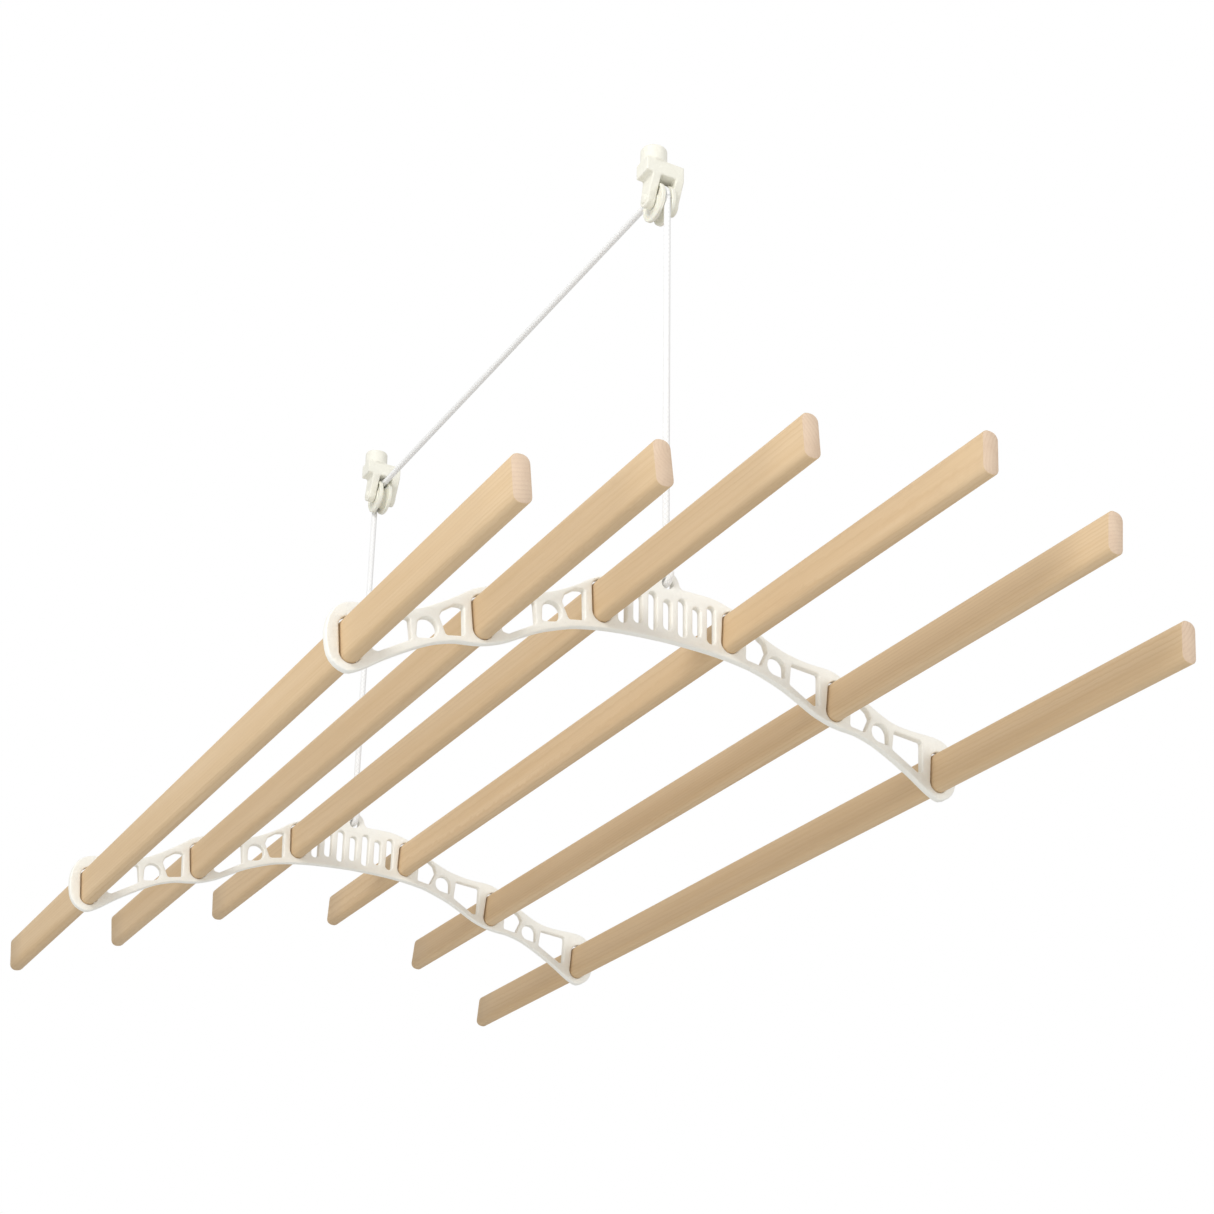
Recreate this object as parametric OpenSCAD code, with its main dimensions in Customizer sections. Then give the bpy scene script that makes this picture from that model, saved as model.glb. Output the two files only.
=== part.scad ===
// Ceiling mounted pulley rack: a six-lath clothes airer hung by a cord from two ceiling pulleys.
// Units are millimetres. +Z is up, the laths run along X, the cast racks stand across them in Y-Z.
// The origin is the centre of the near pulley's top face, where it meets the ceiling.
// Everything hangs below the ceiling plane z = 0.

/* [Laths] */
// length of each wooden lath
lath_length = 1200; // [900:10:2400]
// height of a lath's section, on edge
lath_h = 35; // [30:0.5:36]
// thickness of a lath
lath_w = 14; // [13:0.5:15]
// how unevenly the laths sit lengthwise in the racks, 0 is flush
lath_uneven = 1; // [0:0.1:1]

/* [Racks] */
// distance between the two cast racks
rack_spacing = 656; // [560:4:1800]
// thickness of a cast rack
rack_t = 7; // [5:0.5:12]
// how far the middle laths hang below the ceiling
hang_drop = 460; // [260:5:1200]

/* [Pulleys] */
// diameter of the round boss that meets the ceiling
boss_d = 24; // [20:1:28]
// height of the boss
boss_h = 14; // [12:1:30]
// tapping hole in the boss for the ceiling stud
stud_d = 5; // [4:0.5:8]
// outer diameter of a pulley wheel
wheel_d = 36; // [34:1:38]
// diameter of a pulley's pin
pin_d = 6; // [5:0.5:8]

/* [Cord] */
// diameter of the braided cord
cord_d = 6; // [4:0.5:6]

/* [Hidden] */
$fn = 64;

// --- pulley layout, measured from the boss axis ---
bridge_h = 15;
bridge_l = 20;
cheek_gap = 15;
cheek_t = 8;
frame_half = cheek_gap / 2 + cheek_t;
// the wheel hangs beside the boss and a little to its -X side
wheel_y = 10;
wheel_x = -7;
wheel_under = 1.5;
axle_z = -(boss_h + bridge_h + wheel_d / 2 + wheel_under);
hub_r = 7.5;
wheel_w = cheek_gap - 1;
pin_fit = 0.02;
wheel_fit = 0.06;
pin_head_d = pin_d + 3;
pin_head_t = 1.5;
groove_gap = 0.4;
rim_over_cord = 1;
cord_run_r = wheel_d / 2 - rim_over_cord - cord_d / 2;
stud_depth = boss_h + 4;
end_gap = 0.1;

// --- where the cord drops from each pulley ---
near_leg_x = wheel_x + cord_run_r;
far_leg_x = near_leg_x - rack_spacing;
far_boss_x = far_leg_x + cord_run_r - wheel_x;
cord_y = wheel_y;
cord_top_z = axle_z + cord_run_r;

// --- racks and laths ---
slot_z = -hang_drop;
slot_w = lath_w + 3;
slot_h = lath_h + 2;
lath_r = 6;
lath_rest = 0.35;
// each slot: distance from the middle, drop below the middle pair, outward lean in degrees
slots = [
  [59.6, 0, 3],
  [161.3, 38.9, 6.3],
  [265.1, 81.9, 5.4]
];
// the near ends stand this far beyond the near rack, and each lath is shifted by its own amount
near_overhang = 312;
lath_shift = [-30, -34, -10, 34, 42, -2];

// --- rack outline, one half from the middle outwards: top edge, rounded end, bottom edge ---
rim_top_z = 27.5;
rim = [
  [0, rim_top_z], [20, rim_top_z], [40, 27], [50, 25], [60, 22], [70, 17], [80, 10], [90, 4],
  [100, -1], [110, -5], [120, -7.5], [130, -9.5], [140, -10.5], [150, -11], [160, -12.5],
  [170, -17], [180, -24], [190, -31], [200, -37], [210, -42.5], [220, -46.5], [230, -48.5],
  [240, -49.5], [250, -50], [260, -50.5], [270, -52.5], [278, -58], [282.5, -67],
  [284, -77], [283, -87], [280.5, -96], [275, -103], [266, -107], [258, -104.5], [249, -99],
  [240, -92.5], [230, -86], [220, -80], [210, -74.5], [200, -69.5], [190, -66], [180, -63.5],
  [170, -62.5], [160, -61], [150, -58], [140, -54], [130, -48.5], [120, -43], [110, -38],
  [100, -34], [90, -30.5], [80, -27.5], [60, -24], [40, -22], [20, -21], [0, -20.5]
];
rim_steps = 2;
// windows between the slots, outwards from the middle pair
window_1 = [[74, -20.5], [88, -23], [94.5, -9], [92, -2], [83, 4.5], [75, 6]];
window_3 = [[118, -14.5], [145.5, -17.5], [144.5, -46.5], [139, -47.5], [116, -33.5]];
window_4 = [[175.5, -58], [190, -60.5], [196.5, -46.5], [194, -41], [184.5, -34], [177, -33.5]];
window_6 = [[220, -53.5], [249, -57], [247.5, -85.5], [243, -86], [217.5, -70.5]];
// the arched windows: centre of the arch, and of the rounded corner at its outer foot
arch_r = 8.3;
arch_2 = [[103, -20], [109.3, -27.5]];
arch_5 = [[205.5, -58], [211.8, -65.5]];
corner_r = 2;
window_round = 2.4;
// upright slots of the middle panel
bar_pitch = 13.6;
bar_slot_w = 7.6;
bar_long = [-14.5, 19];
bar_short = [-11.5, 15];

// --- cord eye on top of each rack ---
eye_z = 30;
eye_r = 11;
eye_hole_r = 5;
eye_fillet_r = 6;
// the hollow curve dips a little under the top edge, so the two meet in a soft corner
eye_fillet_z = rim_top_z + eye_fillet_r - 0.4;
eye_fillet_rise = eye_fillet_z - eye_z;
eye_fillet_x = sqrt(pow(eye_r + eye_fillet_r, 2) - pow(eye_fillet_rise, 2));
// the feet end just below where the hollow curve meets the ring
eye_feet_top = eye_z + eye_r * eye_fillet_rise / (eye_r + eye_fillet_r) - 0.1;

// --- cord knot: a loop through the eye, whipped above it ---
eye_bar_z = eye_z + (eye_r + eye_hole_r) / 2;
loop_r = 7.9;
whip_r = 5.6;
whip_tube_r = 3.2;
whip_turns = 3;
whip_z0 = eye_bar_z + loop_r - 1.5;
whip_pitch = cord_d;
knot_top = whip_z0 + whip_turns * whip_pitch + 2;

// smooth curve through neighbouring outline points
function pick(p, i) = p[max(0, min(len(p) - 1, i))];
function curve_at(a, b, c, d, t) =
  0.5 * ((2 * b) + (c - a) * t + (2 * a - 5 * b + 4 * c - d) * t * t
  + (3 * b - a - 3 * c + d) * t * t * t);
function smooth_line(p, n) = [
  for (i = [0:len(p) - 2])
    for (k = [0:n - 1])
      curve_at(pick(p, i - 1), pick(p, i), pick(p, i + 1), pick(p, i + 2), k / n),
  p[len(p) - 1]
];
function mirrored(p) = [
  for (i = [len(p) - 2:-1:1])
    [-p[i][0], p[i][1]]
];

function reversed(p) = [
  for (i = [len(p) - 1:-1:0])
    p[i]
];

// upright stadium, centred
module stadium(w, h) {
  square([w, h - w], center = true);
  for (s = [-1, 1])
    translate([0, s * (h - w) / 2])
      circle(d = w);
}

module rounded_window(points) {
  offset(r = window_round, $fn = 24)
    offset(delta = -window_round)
      polygon(points);
}

module arch_window(c) {
  hull() {
    translate(c[0])
      circle(r = arch_r, $fn = 40);
    translate(c[1])
      circle(r = corner_r, $fn = 24);
  }
}

module half_windows() {
  for (w = [window_1, window_3, window_4, window_6])
    rounded_window(w);
  for (c = [arch_2, arch_5])
    arch_window(c);
  for (s = slots)
    translate([s[0], -s[1]])
      rotate(-s[2])
        stadium(slot_w, slot_h);
}

module middle_slots() {
  for (i = [-3:3]) {
    span = (i % 2 == 0) ? bar_short : bar_long;
    translate([i * bar_pitch, (span[0] + span[1]) / 2])
      stadium(bar_slot_w, span[1] - span[0]);
  }
}

// the eye's feet run into the top edge with a hollow curve
module eye_feet() {
  difference() {
    translate([-eye_fillet_x, rim_top_z - 2])
      square([2 * eye_fillet_x, eye_feet_top - rim_top_z + 2]);
    for (s = [-1, 1])
      translate([s * eye_fillet_x, eye_fillet_z])
        circle(r = eye_fillet_r);
  }
}

module rack_profile() {
  half = smooth_line(rim, rim_steps);
  difference() {
    union() {
      polygon(reversed(concat(half, mirrored(half))));
      eye_feet();
      translate([0, eye_z])
        circle(r = eye_r);
    }
    half_windows();
    mirror([1, 0])
      half_windows();
    middle_slots();
    translate([0, eye_z])
      circle(r = eye_hole_r);
  }
}

// turn a flat Y-Z drawing into a plate of thickness t centred on x
module upright_plate(x, t) {
  translate([x - t / 2, cord_y, slot_z])
    rotate([90, 0, 90])
      linear_extrude(height = t)
        children();
}

module rack_near() {
  color("ivory")
    upright_plate(near_leg_x, rack_t)
      rack_profile();
}

module rack_far() {
  color("ivory")
    upright_plate(far_leg_x, rack_t)
      rack_profile();
}

module lath_section() {
  square([lath_w, lath_h - 2 * lath_r], center = true);
  square([lath_w - 2 * lath_r, lath_h], center = true);
  for (a = [-1, 1])
    for (b = [-1, 1])
      translate([a * (lath_w / 2 - lath_r), b * (lath_h / 2 - lath_r)])
        circle(r = lath_r);
}

// laths are numbered across the rack, 1 to 3 on the -Y side and 4 to 6 on the +Y side
module lath(i) {
  side = i < 4 ? -1 : 1;
  s = slots[i < 4 ? 3 - i : i - 4];
  sag = (slot_h - lath_h) / 2 - lath_rest;
  near_end = near_leg_x + near_overhang + lath_uneven * lath_shift[i - 1];
  color("burlywood")
    translate([near_end - lath_length, cord_y + side * s[0], slot_z - s[1] - sag])
      rotate([90, 0, 90])
        linear_extrude(height = lath_length)
          rotate(-side * s[2])
            lath_section();
}

// --- pulley, drawn about its own boss axis ---
module cheek(y_low) {
  foot = -boss_h - bridge_h;
  translate([0, y_low + cheek_t, 0])
    rotate([90, 0, 0])
      linear_extrude(height = cheek_t)
        difference() {
          union() {
            polygon([
              [-bridge_l / 2, -boss_h],
              [bridge_l / 2, -boss_h],
              [bridge_l / 2, foot],
              [wheel_x + hub_r, axle_z],
              [wheel_x - hub_r, axle_z],
              [-bridge_l / 2, foot]
            ]);
            translate([wheel_x, axle_z])
              circle(r = hub_r);
          }
          translate([wheel_x, axle_z])
            circle(d = pin_d + 2 * pin_fit);
        }
}

module pulley_frame() {
  bridge_back = -boss_d / 2;
  difference() {
    union() {
      translate([0, 0, -boss_h - 1])
        cylinder(d = boss_d, h = boss_h + 1);
      translate([-bridge_l / 2, bridge_back, -boss_h - bridge_h])
        cube([bridge_l, wheel_y + frame_half - bridge_back, bridge_h]);
      cheek(wheel_y - frame_half);
      cheek(wheel_y + cheek_gap / 2);
    }
    translate([0, 0, -stud_depth])
      cylinder(d = stud_d, h = stud_depth + 1);
  }
}

module pulley_pin() {
  y0 = wheel_y - frame_half;
  translate([wheel_x, 0, axle_z])
    rotate([-90, 0, 0]) {
      translate([0, 0, y0 - pin_head_t])
        cylinder(d = pin_head_d, h = pin_head_t);
      translate([0, 0, y0 - pin_head_t])
        cylinder(d = pin_d, h = 2 * frame_half + 2 * pin_head_t);
      translate([0, 0, y0 + 2 * frame_half])
        cylinder(d = pin_head_d, h = pin_head_t);
    }
}

module pulley_wheel() {
  bore_r = pin_d / 2 + wheel_fit;
  translate([wheel_x, wheel_y, axle_z])
    rotate([90, 0, 0])
      rotate_extrude()
        difference() {
          translate([bore_r, -wheel_w / 2])
            square([wheel_d / 2 - bore_r, wheel_w]);
          translate([cord_run_r, 0])
            circle(r = cord_d / 2 + groove_gap);
          translate([cord_run_r, -cord_d / 2 - groove_gap])
            square([wheel_d / 2, cord_d + 2 * groove_gap]);
        }
}

module at_far_pulley() {
  translate([far_boss_x, 0, 0])
    children();
}

module pulley_frame_near() {
  color("ivory")
    pulley_frame();
}

module pulley_frame_far() {
  color("ivory")
    at_far_pulley()
      pulley_frame();
}

module pulley_pin_near() {
  color("silver")
    pulley_pin();
}

module pulley_pin_far() {
  color("silver")
    at_far_pulley()
      pulley_pin();
}

module pulley_wheel_near() {
  color("ivory")
    pulley_wheel();
}

module pulley_wheel_far() {
  color("ivory")
    at_far_pulley()
      pulley_wheel();
}

// --- cord: knot, leg, over one wheel, across, over the other, leg, knot ---
module quarter_over(x, turn) {
  translate([x, cord_y, axle_z])
    rotate([90, 0, 0])
      rotate([0, 0, turn])
        rotate_extrude(angle = 90)
          translate([cord_run_r, 0])
            circle(d = cord_d);
}

module cord_span() {
  near_x = wheel_x;
  far_x = far_boss_x + wheel_x;
  color("white") {
    quarter_over(near_x, 0);
    quarter_over(far_x, 90);
    translate([far_x, cord_y, cord_top_z])
      rotate([0, 90, 0])
        cylinder(d = cord_d, h = near_x - far_x);
  }
}

module cord_leg(x) {
  bottom = slot_z + knot_top + end_gap;
  color("white")
    translate([x, cord_y, bottom])
      cylinder(d = cord_d, h = axle_z - end_gap - bottom);
}

module cord_leg_near() {
  cord_leg(near_leg_x);
}

module cord_leg_far() {
  cord_leg(far_leg_x);
}

// a loop through the eye with the cord's end whipped round the standing part above it
module cord_knot(x) {
  color("white")
    translate([x, cord_y, slot_z]) {
      translate([0, 0, eye_bar_z])
        rotate([90, 0, 0])
          rotate_extrude()
            translate([loop_r, 0])
              circle(d = cord_d);
      translate([0, 0, whip_z0])
        cylinder(d = cord_d, h = knot_top - whip_z0);
      for (k = [0:whip_turns - 1])
        translate([0, 0, whip_z0 + (k + 0.5) * whip_pitch])
          rotate_extrude()
            translate([whip_r, 0])
              circle(r = whip_tube_r);
    }
}

module cord_knot_near() {
  cord_knot(near_leg_x);
}

module cord_knot_far() {
  cord_knot(far_leg_x);
}

rack_near();
rack_far();
lath(1);  // lath_1
lath(2);  // lath_2
lath(3);  // lath_3
lath(4);  // lath_4
lath(5);  // lath_5
lath(6);  // lath_6
pulley_frame_near();
pulley_pin_near();
pulley_wheel_near();
pulley_frame_far();
pulley_pin_far();
pulley_wheel_far();
cord_span();
cord_leg_near();
cord_leg_far();
cord_knot_near();
cord_knot_far();
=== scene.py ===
import math
import random

import bpy
import bmesh
from mathutils import Matrix, Vector


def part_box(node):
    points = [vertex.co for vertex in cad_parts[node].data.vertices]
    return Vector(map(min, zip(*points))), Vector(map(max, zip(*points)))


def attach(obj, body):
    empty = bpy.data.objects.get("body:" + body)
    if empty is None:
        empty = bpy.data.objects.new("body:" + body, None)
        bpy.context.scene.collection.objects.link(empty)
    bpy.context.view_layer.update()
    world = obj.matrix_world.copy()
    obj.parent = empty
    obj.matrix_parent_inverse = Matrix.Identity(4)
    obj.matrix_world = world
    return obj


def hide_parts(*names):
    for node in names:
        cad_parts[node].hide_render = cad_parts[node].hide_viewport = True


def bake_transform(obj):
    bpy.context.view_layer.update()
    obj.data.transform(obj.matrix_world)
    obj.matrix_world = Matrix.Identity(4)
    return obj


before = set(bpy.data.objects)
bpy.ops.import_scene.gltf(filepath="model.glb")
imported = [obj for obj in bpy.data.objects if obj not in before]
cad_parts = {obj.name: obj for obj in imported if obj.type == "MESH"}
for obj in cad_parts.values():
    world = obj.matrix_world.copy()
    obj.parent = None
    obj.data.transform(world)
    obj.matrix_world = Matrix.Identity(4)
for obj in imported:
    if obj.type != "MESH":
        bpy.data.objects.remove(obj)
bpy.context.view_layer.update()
MM = 0.001
NEAR_LEG_X, FAR_LEG_X, CORD_Y = 7 * MM, -649 * MM, 10 * MM
AXLE_Z, RUN_R, CORD_R = -48.5 * MM, 14 * MM, 3 * MM
SLOT_Z = -460 * MM
EYE_BAR_Z = SLOT_Z + 38 * MM
KNOT_TOP = SLOT_Z + 64.4 * MM
SLOTS = ((59.6, 0.0, 3.0), (161.3, 38.9, 6.3), (265.1, 81.9, 5.4))
LATH_W, LATH_H, LATH_R = 14 * MM, 35 * MM, 6 * MM
SAW_EDGE = 0.45 * MM
CAST_EDGE = 1.3 * MM
CAST_VOXEL = 0.75 * MM
PIN_R, PIN_HEAD_R, PIN_HEAD_T = 3 * MM, 4.5 * MM, 1.5 * MM
WHEEL_R, WHEEL_HUB_R, WHEEL_BORE_R, WHEEL_HALF = 18 * MM, 8 * MM, 3.06 * MM, 7 * MM
GROOVE_R = 3.4 * MM
LEG_GAP = 0.1 * MM
KNOT_LOOP_R = 7.8 * MM
FLOOR_Z, FLOOR_SIZE = -2.3, 40.0


# ---------------------------------------------------------------- camera
def make_camera():
    cam = bpy.data.cameras.new("camera")
    cam.lens = 62.89
    cam.sensor_width = 36.0
    cam.shift_x = -0.1143
    cam.shift_y = 0.0529
    cam.clip_end = 50
    ob = bpy.data.objects.new("camera", cam)
    bpy.context.scene.collection.objects.link(ob)
    turn = Vector((1.0537, 0.5735, -0.9029))
    rows = Matrix.Rotation(turn.length, 3, turn.normalized())
    axes = Matrix((rows[0], -rows[1], -rows[2])).transposed().to_4x4()
    ob.matrix_world = Matrix.Translation((1.3431, -0.7544, -1.1903)) @ axes
    bpy.context.scene.camera = ob


make_camera()


# ---------------------------------------------------------------- node helpers
def new_material(name):
    mat = bpy.data.materials.new(name)
    mat.use_nodes = True
    tree = mat.node_tree
    tree.nodes.clear()
    out = tree.nodes.new("ShaderNodeOutputMaterial")
    shader = tree.nodes.new("ShaderNodeBsdfPrincipled")
    tree.links.new(shader.outputs[0], out.inputs[0])
    return mat, tree, shader


def node(tree, kind, values=(), **props):
    n = tree.nodes.new(kind)
    for key, value in props.items():
        setattr(n, key, value)
    for key, value in dict(values).items():
        n.inputs[key].default_value = value
    return n


def ramp(tree, fac, stops):
    n = tree.nodes.new("ShaderNodeValToRGB")
    while len(n.color_ramp.elements) < len(stops):
        n.color_ramp.elements.new(0.5)
    for element, (pos, col) in zip(n.color_ramp.elements, stops):
        element.position = pos
        element.color = (*col, 1)
    tree.links.new(fac, n.inputs[0])
    return n.outputs[0]


def mix(tree, fac, a, b):
    n = node(tree, "ShaderNodeMix", data_type="RGBA")
    for socket, value in ((n.inputs[0], fac), (n.inputs[6], a), (n.inputs[7], b)):
        if isinstance(value, bpy.types.NodeSocket):
            tree.links.new(value, socket)
        else:
            socket.default_value = value if isinstance(value, float) else (*value, 1)
    return n.outputs[2]


def math_node(tree, op, a, b=0.0):
    n = node(tree, "ShaderNodeMath", operation=op)
    for socket, value in ((n.inputs[0], a), (n.inputs[1], b)):
        if isinstance(value, bpy.types.NodeSocket):
            tree.links.new(value, socket)
        else:
            socket.default_value = value
    return n.outputs[0]


def noise(tree, vector, scale, detail=3.0, rough=0.5):
    n = node(tree, "ShaderNodeTexNoise", {"Scale": scale, "Detail": detail, "Roughness": rough})
    tree.links.new(vector, n.inputs["Vector"])
    return n.outputs[0]


def bump(tree, height, distance, strength=1.0, below=None):
    n = node(tree, "ShaderNodeBump", {"Strength": strength, "Distance": distance})
    tree.links.new(height, n.inputs["Height"])
    if below is not None:
        tree.links.new(below, n.inputs["Normal"])
    return n.outputs[0]


def object_coords(tree):
    return tree.nodes.new("ShaderNodeTexCoord").outputs["Object"]


# ---------------------------------------------------------------- materials
def paint_material(name, base, shade, rough):
    """Enamel over a sand casting: soft pits, orange peel and a little yellowing."""
    mat, tree, shader = new_material(name)
    co = object_coords(tree)
    broad = noise(tree, co, 22.0, 3.0)
    patch = noise(tree, co, 140.0, 4.0, 0.6)
    colour = mix(tree, math_node(tree, "MULTIPLY", broad, 0.9), base, shade)
    colour = mix(tree, ramp(tree, patch, [(0.60, (0, 0, 0)), (0.78, (0.35, 0.35, 0.35))]), colour,
                 tuple(c * 0.90 for c in shade))
    tree.links.new(colour, shader.inputs["Base Color"])
    peel = noise(tree, co, 900.0, 2.0)
    pits = noise(tree, co, 260.0, 3.0, 0.6)
    low = bump(tree, pits, 0.0009, 0.7)
    tree.links.new(bump(tree, peel, 0.0003, 0.5, low), shader.inputs["Normal"])
    gloss = math_node(tree, "ADD", math_node(tree, "MULTIPLY", patch, 0.22), rough - 0.11)
    tree.links.new(gloss, shader.inputs["Roughness"])
    shader.inputs["Specular IOR Level"].default_value = 0.45
    return mat


def pine_rings(tree, grain, scale):
    """Growth rings round a pith that lies outside the lath, drifting slowly along it."""
    wobble = node(tree, "ShaderNodeMapping")
    wobble.inputs["Scale"].default_value = (1.1, 9.0, 9.0)
    tree.links.new(grain, wobble.inputs["Vector"])
    bend = noise(tree, wobble.outputs[0], 1.0, 2.0)
    shifted = node(tree, "ShaderNodeVectorMath", operation="MULTIPLY_ADD")
    shifted.inputs[1].default_value = (0.0, 0.014, 0.016)
    tree.links.new(bend, shifted.inputs[0])
    tree.links.new(grain, shifted.inputs[2])
    rings = node(tree, "ShaderNodeTexWave", {"Scale": scale, "Distortion": 1.8, "Detail": 2.0,
                                             "Detail Scale": 1.2, "Detail Roughness": 0.5},
                 wave_type="RINGS", rings_direction="X", wave_profile="SAW")
    tree.links.new(shifted.outputs[0], rings.inputs["Vector"])
    return rings.outputs[1]


def pine_material(name, end_grain):
    """Planed pine: growth rings, long fibres, warmer streaks; the sawn ends are paler and pinker."""
    mat, tree, shader = new_material(name)
    grain = node(tree, "ShaderNodeAttribute", attribute_name="grain").outputs["Vector"]
    late = ramp(tree, pine_rings(tree, grain, 105.0), [
        (0.0, (0, 0, 0)), (0.50, (0.10, 0.10, 0.10)),
        (0.86, (0.75, 0.75, 0.75)), (1.0, (0.15, 0.15, 0.15))])
    fibre_map = node(tree, "ShaderNodeMapping")
    across_fibres, along_fibres = (900.0, 900.0, 900.0), (11.0, 1100.0, 1100.0)
    fibre_map.inputs["Scale"].default_value = across_fibres if end_grain else along_fibres
    tree.links.new(grain, fibre_map.inputs["Vector"])
    fibre = noise(tree, fibre_map.outputs[0], 1.0, 4.0, 0.6)
    streak_map = node(tree, "ShaderNodeMapping")
    streak_map.inputs["Scale"].default_value = (2.2, 60.0, 60.0)
    tree.links.new(grain, streak_map.inputs["Vector"])
    streak = noise(tree, streak_map.outputs[0], 1.0, 3.0)
    figure = noise(tree, streak_map.outputs[0], 0.35, 2.0)
    strength = ramp(tree, figure, [(0.35, (0.12, 0.12, 0.12)), (0.72, (0.62, 0.62, 0.62))])
    if end_grain:
        light, dark, warm = (0.755, 0.585, 0.435), (0.55, 0.38, 0.26), (0.69, 0.51, 0.365)
    else:
        light, dark, warm = (0.695, 0.52, 0.325), (0.54, 0.36, 0.195), (0.63, 0.445, 0.25)
    colour = mix(tree, math_node(tree, "MULTIPLY", late, strength), light, dark)
    colour = mix(tree, ramp(tree, streak, [(0.40, (0, 0, 0)), (0.70, (0.70, 0.70, 0.70))]), colour, warm)
    colour = mix(tree, ramp(tree, fibre, [(0.50, (0, 0, 0)), (0.80, (0.22, 0.22, 0.22))]), colour,
                 tuple(0.85 * c for c in dark))
    tree.links.new(colour, shader.inputs["Base Color"])
    low = bump(tree, late, 0.00006, 0.4)
    tree.links.new(bump(tree, fibre, 0.00014, 0.5, low), shader.inputs["Normal"])
    tree.links.new(math_node(tree, "ADD", math_node(tree, "MULTIPLY", fibre, 0.2), 0.52),
                   shader.inputs["Roughness"])
    shader.inputs["Specular IOR Level"].default_value = 0.3
    return mat


def braid_material():
    """Plaited cotton: two families of strands cross round the cord, with fuzz between them."""
    mat, tree, shader = new_material("braid")
    uv = node(tree, "ShaderNodeTexCoord").outputs["UV"]
    parts = node(tree, "ShaderNodeSeparateXYZ")
    tree.links.new(uv, parts.inputs[0])
    around = math_node(tree, "MULTIPLY", parts.outputs[0], 8.0)
    along = math_node(tree, "MULTIPLY", parts.outputs[1], 8.0)
    heights = []
    for op in ("ADD", "SUBTRACT"):
        phase = math_node(tree, "MULTIPLY", math_node(tree, op, around, along), math.pi)
        wave = math_node(tree, "ABSOLUTE", math_node(tree, "SINE", phase))
        heights.append(math_node(tree, "POWER", wave, 0.6))
    round_wave = math_node(tree, "SINE", math_node(tree, "MULTIPLY", around, math.pi))
    long_wave = math_node(tree, "SINE", math_node(tree, "MULTIPLY", along, math.pi))
    checker = math_node(tree, "MULTIPLY", round_wave, long_wave)
    over = math_node(tree, "GREATER_THAN", checker, 0.0)
    weave = node(tree, "ShaderNodeMix", data_type="FLOAT")
    tree.links.new(over, weave.inputs[0])
    tree.links.new(heights[0], weave.inputs[2])
    tree.links.new(heights[1], weave.inputs[3])
    fuzz = noise(tree, object_coords(tree), 2600.0, 3.0, 0.7)
    height = math_node(tree, "ADD", weave.outputs[0], math_node(tree, "MULTIPLY", fuzz, 0.5))
    # Painted shade: the plait is coloured darker grey in the low valleys between the strands and lighter
    # on the strand crowns, standing in for the shade that falls in those creases
    colour = ramp(tree, weave.outputs[0], [(0.0, (0.72, 0.72, 0.715)), (0.5, (0.88, 0.88, 0.875)),
                                           (1.0, (0.94, 0.94, 0.935))])
    tree.links.new(colour, shader.inputs["Base Color"])
    tree.links.new(bump(tree, height, 0.0003, 0.5), shader.inputs["Normal"])
    shader.inputs["Roughness"].default_value = 0.85
    shader.inputs["Sheen Weight"].default_value = 0.3
    shader.inputs["Specular IOR Level"].default_value = 0.2
    return mat


def nylon_material():
    """Moulded wheel: matt and faintly mottled."""
    mat, tree, shader = new_material("nylon")
    co = object_coords(tree)
    mottle = noise(tree, co, 90.0, 3.0)
    tree.links.new(mix(tree, mottle, (0.87, 0.86, 0.77), (0.80, 0.78, 0.67)), shader.inputs["Base Color"])
    tree.links.new(bump(tree, noise(tree, co, 1300.0, 3.0), 0.00015, 0.4), shader.inputs["Normal"])
    shader.inputs["Roughness"].default_value = 0.5
    shader.inputs["Subsurface Weight"].default_value = 0.1
    shader.inputs["Subsurface Radius"].default_value = (0.004, 0.003, 0.002)
    return mat


RACK_PAINT = paint_material("rack_enamel", (0.95, 0.94, 0.89), (0.91, 0.89, 0.81), 0.42)
PULLEY_PAINT = paint_material("pulley_enamel", (0.90, 0.885, 0.80), (0.85, 0.83, 0.72), 0.45)
PINE = pine_material("pine", False)
PINE_END = pine_material("pine_end", True)
BRAID = braid_material()
NYLON = nylon_material()


# ---------------------------------------------------------------- mesh helpers
def finish_piece(ob, material, body, slot_name, *cad):
    ob.data.materials.clear()
    ob.data.materials.append(material)
    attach(ob, body)
    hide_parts(*cad)
    return ob


def link_mesh(name, bm, smooth=35.0):
    bmesh.ops.recalc_face_normals(bm, faces=bm.faces)
    me = bpy.data.meshes.new(name)
    bm.to_mesh(me)
    bm.free()
    for p in me.polygons:
        p.use_smooth = True
    me.set_sharp_from_angle(angle=math.radians(smooth))
    ob = bpy.data.objects.new(name, me)
    bpy.context.scene.collection.objects.link(ob)
    return ob


def loft(bm, rings, closed=False):
    """Skins a list of equal rings of points; caps the ends unless the rings close on themselves."""
    made = [[bm.verts.new(p) for p in ring] for ring in rings]
    count = len(made)
    for i in range(count if closed else count - 1):
        a, b = made[i], made[(i + 1) % count]
        for k in range(len(a)):
            bm.faces.new((a[k], a[(k + 1) % len(a)], b[(k + 1) % len(a)], b[k]))
    if not closed:
        bm.faces.new(made[0][::-1])
        bm.faces.new(made[-1])


def spin(bm, profile, centre, steps=72):
    """Turns an (r, y) profile about an axis along Y through centre. A closed profile makes a ring."""
    rings = []
    for i in range(steps):
        a = 2 * math.pi * i / steps
        rings.append([(centre[0] + r * math.cos(a), centre[1] + y, centre[2] + r * math.sin(a))
                      for r, y in profile])
    loft(bm, rings, closed=True)


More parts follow.
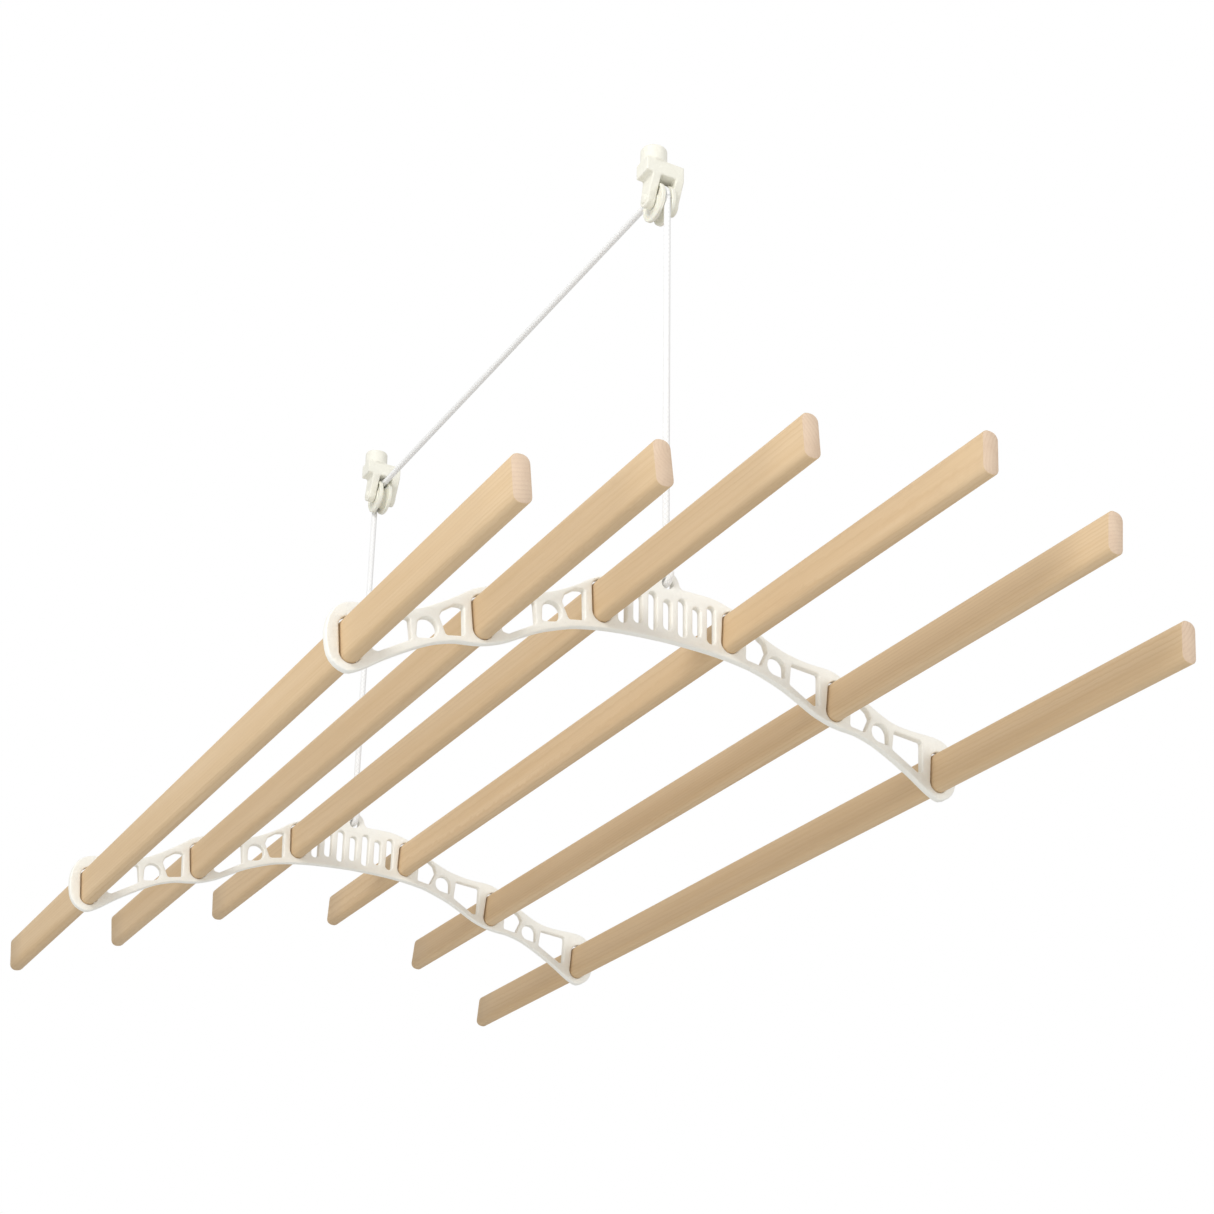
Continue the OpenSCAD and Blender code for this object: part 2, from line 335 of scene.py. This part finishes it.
def outline_loops(name):
    """The closed edge loops of a flat plate's +X face, taken from the frame's own solid."""
    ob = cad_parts[name]
    face_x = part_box(name)[1].x
    me = ob.data
    uses, points = {}, {}
    for p in me.polygons:
        corners = [me.vertices[i].co for i in p.vertices]
        if all(abs(c.x - face_x) < 1e-6 for c in corners):
            keys = [(round(c.y, 6), round(c.z, 6)) for c in corners]
            for a, b in zip(keys, keys[1:] + keys[:1]):
                uses[frozenset((a, b))] = uses.get(frozenset((a, b)), 0) + 1
    links = {}
    for edge, count in uses.items():
        if count == 1 and len(edge) == 2:
            a, b = tuple(edge)
            links.setdefault(a, []).append(b)
            links.setdefault(b, []).append(a)
    loops = []
    left = set(links)
    while left:
        start = min(left)
        loop, here, before = [start], start, None
        left.discard(start)
        while True:
            ahead = [p for p in links[here] if p != before and (p in left or p == start)]
            if not ahead or ahead[0] == start:
                break
            before, here = here, ahead[0]
            left.discard(here)
            loop.append(here)
        if len(loop) > 2:
            loops.append(loop)
    return loops


def plate_from_outline(name, loops, x_mid, thick, edge):
    """A cast plate with rounded arrises: the loops as a filled flat curve, thickened and bevelled."""
    cu = bpy.data.curves.new(name + "_outline", "CURVE")
    cu.dimensions = "2D"
    cu.fill_mode = "BOTH"
    cu.extrude = thick / 2 - edge
    cu.bevel_depth = edge
    cu.bevel_resolution = 3
    cu.offset = -edge
    for loop in loops:
        sp = cu.splines.new("POLY")
        sp.points.add(len(loop) - 1)
        sp.use_cyclic_u = True
        for point, (y, z) in zip(sp.points, loop):
            point.co = (y, z, 0, 1)
    tmp = bpy.data.objects.new(name + "_tmp", cu)
    bpy.context.scene.collection.objects.link(tmp)
    bpy.context.view_layer.update()
    me = bpy.data.meshes.new_from_object(tmp.evaluated_get(bpy.context.evaluated_depsgraph_get()))
    bpy.data.objects.remove(tmp)
    bm = bmesh.new()
    bm.from_mesh(me)
    bmesh.ops.remove_doubles(bm, verts=bm.verts, dist=1e-6)
    place = Matrix(((0, 0, 1, x_mid), (1, 0, 0, 0), (0, 1, 0, 0), (0, 0, 0, 1)))
    bmesh.ops.transform(bm, matrix=place, verts=bm.verts)
    return link_mesh(name, bm, 50.0)


# ---------------------------------------------------------------- racks
def make_rack(name, body):
    low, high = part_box(name)
    ob = plate_from_outline(name + "_casting", outline_loops(name), (low.x + high.x) / 2,
                            high.x - low.x, CAST_EDGE)
    return finish_piece(ob, RACK_PAINT, body, "rack_casting", name)


# ---------------------------------------------------------------- laths
def lath_ring(w, h, r, inset, steps=7):
    ring = []
    r = max(r - inset, 0.2 * MM)
    for cy, cz, a0 in ((1, 1, 0), (-1, 1, 90), (-1, -1, 180), (1, -1, 270)):
        for k in range(steps):
            a = math.radians(a0 + 90 * k / (steps - 1))
            ring.append((cy * (w / 2 - inset - r) + r * math.cos(a),
                         cz * (h / 2 - inset - r) + r * math.sin(a)))
    return ring


def make_lath(index):
    name = "lath_%d" % index
    low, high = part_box(name)
    y, drop, lean = SLOTS[3 - index] if index < 4 else SLOTS[index - 4]
    side = -1 if index < 4 else 1
    tilt = math.radians(-side * lean)
    mid_y, mid_z = (low.y + high.y) / 2, (low.z + high.z) / 2
    stations = [(0.0, SAW_EDGE), (SAW_EDGE, 0.0)]
    length = high.x - low.x
    xs = [(low.x + s, i) for s, i in stations]
    xs += [(low.x + length * k / 24, 0.0) for k in range(1, 24)]
    xs += [(high.x - s, i) for s, i in reversed(stations)]
    bm = bmesh.new()
    rings = []
    for x, inset in xs:
        ring = []
        for a, b in lath_ring(LATH_W, LATH_H, LATH_R, inset):
            ring.append((x, mid_y + a * math.cos(tilt) - b * math.sin(tilt),
                         mid_z + a * math.sin(tilt) + b * math.cos(tilt)))
        rings.append(ring)
    loft(bm, rings)
    ob = link_mesh(name + "_pine", bm, 60.0)
    grain_attribute(ob.data, Vector((low.x, mid_y, mid_z)), index)
    finish_piece(ob, PINE, "rack", "lath_wood", name)
    ob.data.materials.append(PINE_END)
    for p in ob.data.polygons:
        if abs(p.normal.x) > 0.9:
            p.material_index = 1
    return ob


def grain_attribute(me, origin, index):
    """Each lath is sawn from its own place in the log: its own pith, slightly out of line with it."""
    rng = random.Random(40 + index)
    angle = rng.uniform(0, 2 * math.pi)
    pith = Vector((rng.uniform(0, 3), math.cos(angle) * rng.uniform(0.03, 0.075),
                   math.sin(angle) * rng.uniform(0.03, 0.075)))
    slope = (rng.uniform(-0.012, 0.012), rng.uniform(-0.016, 0.016))
    att = me.attributes.new("grain", "FLOAT_VECTOR", "POINT")
    for v, item in zip(me.vertices, att.data):
        d = v.co - origin
        item.vector = (d.x + pith.x, d.y + pith.y + slope[0] * d.x, d.z + pith.z + slope[1] * d.x)


# ---------------------------------------------------------------- pulleys
def make_pulley_frame(tag):
    """The casting: the frame's own solid, voxelled and relaxed so that every inner corner fills out."""
    name = "pulley_frame_" + tag
    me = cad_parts[name].data.copy()
    ob = bpy.data.objects.new(name + "_casting", me)
    bpy.context.scene.collection.objects.link(ob)
    cuts = ob.modifiers.new("voxels", "REMESH")
    cuts.mode = "VOXEL"
    cuts.voxel_size = CAST_VOXEL
    cuts.use_smooth_shade = True
    relax = ob.modifiers.new("relax", "SMOOTH")
    relax.factor = 0.5
    relax.iterations = 7
    bpy.context.view_layer.update()
    me = bpy.data.meshes.new_from_object(ob.evaluated_get(bpy.context.evaluated_depsgraph_get()))
    ob.modifiers.clear()
    ob.data = me
    me.name = name + "_casting"
    return finish_piece(ob, PULLEY_PAINT, "ceiling_fixings", "pulley_casting", name)


def make_pin(tag):
    name = "pulley_pin_" + tag
    low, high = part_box(name)
    mid = (low + high) / 2
    half = (high.y - low.y) / 2
    side = [(0.01 * MM, -half), (2.2 * MM, -half + 0.1 * MM), (3.6 * MM, -half + 0.45 * MM),
            (4.3 * MM, -half + 1.0 * MM), (PIN_HEAD_R, -half + PIN_HEAD_T),
            (PIN_R, -half + PIN_HEAD_T)]
    bm = bmesh.new()
    spin(bm, side + [(r, -y) for r, y in reversed(side)], mid, 40)
    return finish_piece(link_mesh(name + "_rivet", bm), PULLEY_PAINT, "ceiling_fixings", "pin_steel", name)


def make_wheel(tag):
    name = "pulley_wheel_" + tag
    low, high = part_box(name)
    mid = (low + high) / 2
    bore, hub, rim, half = WHEEL_BORE_R, WHEEL_HUB_R, WHEEL_R, WHEEL_HALF
    side = [(bore, -half + 0.4 * MM), (bore + 0.4 * MM, -half), (hub, -half),
            (hub + 0.6 * MM, -half + 0.9 * MM),
            (rim - 3 * MM, -half + 0.9 * MM), (rim - 2.2 * MM, -half), (rim - 0.6 * MM, -half),
            (rim, -half + 0.6 * MM), (rim, -3.9 * MM), (rim - 0.5 * MM, -3.4 * MM)]
    groove = []
    for k in range(9):
        a = math.radians(180 * k / 8)
        groove.append((RUN_R - GROOVE_R * math.sin(a), -GROOVE_R * math.cos(a)))
    profile = side + groove + [(r, -y) for r, y in reversed(side)]
    bm = bmesh.new()
    spin(bm, profile, mid, 96)
    return finish_piece(link_mesh(name + "_nylon", bm, 30.0), NYLON, "wheel_" + tag, "wheel", name)


# ---------------------------------------------------------------- cord
def tube(bm, points, radius, sides=20, up=(0, 1, 0)):
    """Sweeps a round section along points, with UVs: u round the cord, v along it in circumferences."""
    uv = bm.loops.layers.uv.verify()
    pts = [Vector(p) for p in points]
    rings, lengths = [], [0.0]
    side = Vector(up)
    for i, p in enumerate(pts):
        ahead = (pts[min(i + 1, len(pts) - 1)] - pts[max(i - 1, 0)]).normalized()
        side = (side - ahead * side.dot(ahead)).normalized()
        across = ahead.cross(side)
        rings.append([bm.verts.new(p + radius * (side * math.cos(2 * math.pi * k / sides)
                                                 + across * math.sin(2 * math.pi * k / sides)))
                      for k in range(sides)])
        if i:
            lengths.append(lengths[-1] + (p - pts[i - 1]).length / (2 * math.pi * radius))
    for i in range(len(pts) - 1):
        for k in range(sides):
            n = (k + 1) % sides
            f = bm.faces.new((rings[i][k], rings[i][n], rings[i + 1][n], rings[i + 1][k]))
            for loop, u, v in zip(f.loops, (k, k + 1, k + 1, k),
                                  (lengths[i], lengths[i], lengths[i + 1], lengths[i + 1])):
                loop[uv].uv = (u / sides, v)
    for ring in (rings[0][::-1], rings[-1]):
        bm.faces.new(ring)


def link_cord(name, bm):
    me = bpy.data.meshes.new(name)
    bm.to_mesh(me)
    bm.free()
    for p in me.polygons:
        p.use_smooth = True
    ob = bpy.data.objects.new(name, me)
    bpy.context.scene.collection.objects.link(ob)
    return ob


def make_span():
    near_c, far_c = NEAR_LEG_X - RUN_R, FAR_LEG_X + RUN_R
    pts = []
    for k in range(17):
        a = math.radians(90 * k / 16)
        pts.append((near_c + RUN_R * math.cos(a), CORD_Y, AXLE_Z + RUN_R * math.sin(a)))
    for k in range(1, 60):
        pts.append((near_c + (far_c - near_c) * k / 60, CORD_Y, AXLE_Z + RUN_R))
    for k in range(17):
        a = math.radians(90 + 90 * k / 16)
        pts.append((far_c + RUN_R * math.cos(a), CORD_Y, AXLE_Z + RUN_R * math.sin(a)))
    bm = bmesh.new()
    tube(bm, pts, CORD_R)
    return finish_piece(link_cord("span_cord", bm), BRAID, "ceiling_fixings", "cord_braid", "cord_span")


def make_leg(tag, x):
    bm = bmesh.new()
    top, bottom = AXLE_Z - LEG_GAP, KNOT_TOP + LEG_GAP
    tube(bm, [(x, CORD_Y, top + (bottom - top) * k / 48) for k in range(49)], CORD_R)
    ob = link_cord("leg_cord_" + tag, bm)
    ob.data.materials.append(BRAID)
    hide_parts("cord_leg_" + tag)
    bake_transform(ob)
    return ob


def make_knot(tag, x):
    bm = bmesh.new()
    loop = []
    for k in range(41):
        a = math.radians(90 + 360 * k / 40)
        loop.append((x + KNOT_LOOP_R * math.cos(a), CORD_Y, EYE_BAR_Z + KNOT_LOOP_R * math.sin(a)))
    tube(bm, loop, CORD_R * 0.97)
    low = EYE_BAR_Z + 6.4 * MM
    tube(bm, [(x, CORD_Y, low + (KNOT_TOP - low) * k / 12) for k in range(13)], CORD_R)
    coil = []
    turns, first, last = 3.0, EYE_BAR_Z + 9.6 * MM, KNOT_TOP - 5.0 * MM
    for k in range(97):
        t = k / 96
        a = math.radians(-30) + 2 * math.pi * turns * t
        r = 5.4 * MM if 0.04 < t < 0.96 else 4.6 * MM
        coil.append((x + r * math.cos(a), CORD_Y + r * math.sin(a), first + (last - first) * t))
    tube(bm, coil, 2.9 * MM, up=(0, 0, 1))
    return finish_piece(link_cord("knot_" + tag, bm), BRAID, "rack", "cord_braid", "cord_knot_" + tag)


# ---------------------------------------------------------------- studio
def area_light(name, place, aim, size, power):
    light = bpy.data.lights.new(name, "AREA")
    light.shape = "DISK"
    light.size = size
    light.energy = power
    ob = bpy.data.objects.new(name, light)
    bpy.context.scene.collection.objects.link(ob)
    ob.location = place
    ob.rotation_euler = (Vector(aim) - Vector(place)).to_track_quat("-Z", "Y").to_euler()
    return ob


def make_world():
    world = bpy.data.worlds.new("studio")
    world.use_nodes = True
    bpy.context.scene.world = world
    tree = world.node_tree
    tree.nodes.clear()
    out = tree.nodes.new("ShaderNodeOutputWorld")
    co = tree.nodes.new("ShaderNodeTexCoord").outputs["Generated"]
    parts = node(tree, "ShaderNodeSeparateXYZ")
    tree.links.new(co, parts.inputs[0])
    up = math_node(tree, "ADD", math_node(tree, "MULTIPLY", parts.outputs[2], 0.5), 0.5)
    sky = ramp(tree, up, [(0.0, (0.20, 0.20, 0.20)), (0.5, (0.62, 0.62, 0.62)), (1.0, (0.95, 0.95, 0.95))])
    soft = node(tree, "ShaderNodeBackground", {"Strength": 0.8})
    tree.links.new(sky, soft.inputs[0])
    white = node(tree, "ShaderNodeBackground", {"Color": (1, 1, 1, 1), "Strength": 1.0})
    path = tree.nodes.new("ShaderNodeLightPath")
    both = tree.nodes.new("ShaderNodeMixShader")
    tree.links.new(path.outputs["Is Camera Ray"], both.inputs[0])
    tree.links.new(soft.outputs[0], both.inputs[1])
    tree.links.new(white.outputs[0], both.inputs[2])
    tree.links.new(both.outputs[0], out.inputs[0])


def make_floor():
    bm = bmesh.new()
    bmesh.ops.create_grid(bm, x_segments=2, y_segments=2, size=FLOOR_SIZE)
    bmesh.ops.translate(bm, vec=(0, 0, FLOOR_Z), verts=bm.verts)
    ob = link_mesh("floor", bm)
    mat, tree, shader = new_material("floor_plain")
    shader.inputs["Base Color"].default_value = (0.80, 0.80, 0.79, 1)
    shader.inputs["Roughness"].default_value = 0.9
    ob.data.materials.append(mat)


for tag in ("near", "far"):
    make_rack("rack_" + tag, "rack")
    make_pulley_frame(tag)
    make_pin(tag)
    make_wheel(tag)
for number in range(1, 7):
    make_lath(number)
make_span()
make_leg("near", NEAR_LEG_X)
make_leg("far", FAR_LEG_X)
make_knot("near", NEAR_LEG_X)
make_knot("far", FAR_LEG_X)
make_world()
make_floor()
area_light("key", (1.6, -2.6, 0.9), (-0.2, 0, -0.45), 1.6, 54)
area_light("fill", (2.6, 1.8, -0.2), (-0.2, 0, -0.45), 1.8, 22)
area_light("low", (0.7, -2.7, -1.7), (-0.3, 0.1, -0.5), 1.8, 15)
bpy.context.scene.view_settings.view_transform = "Standard"

bpy.context.view_layer.update()
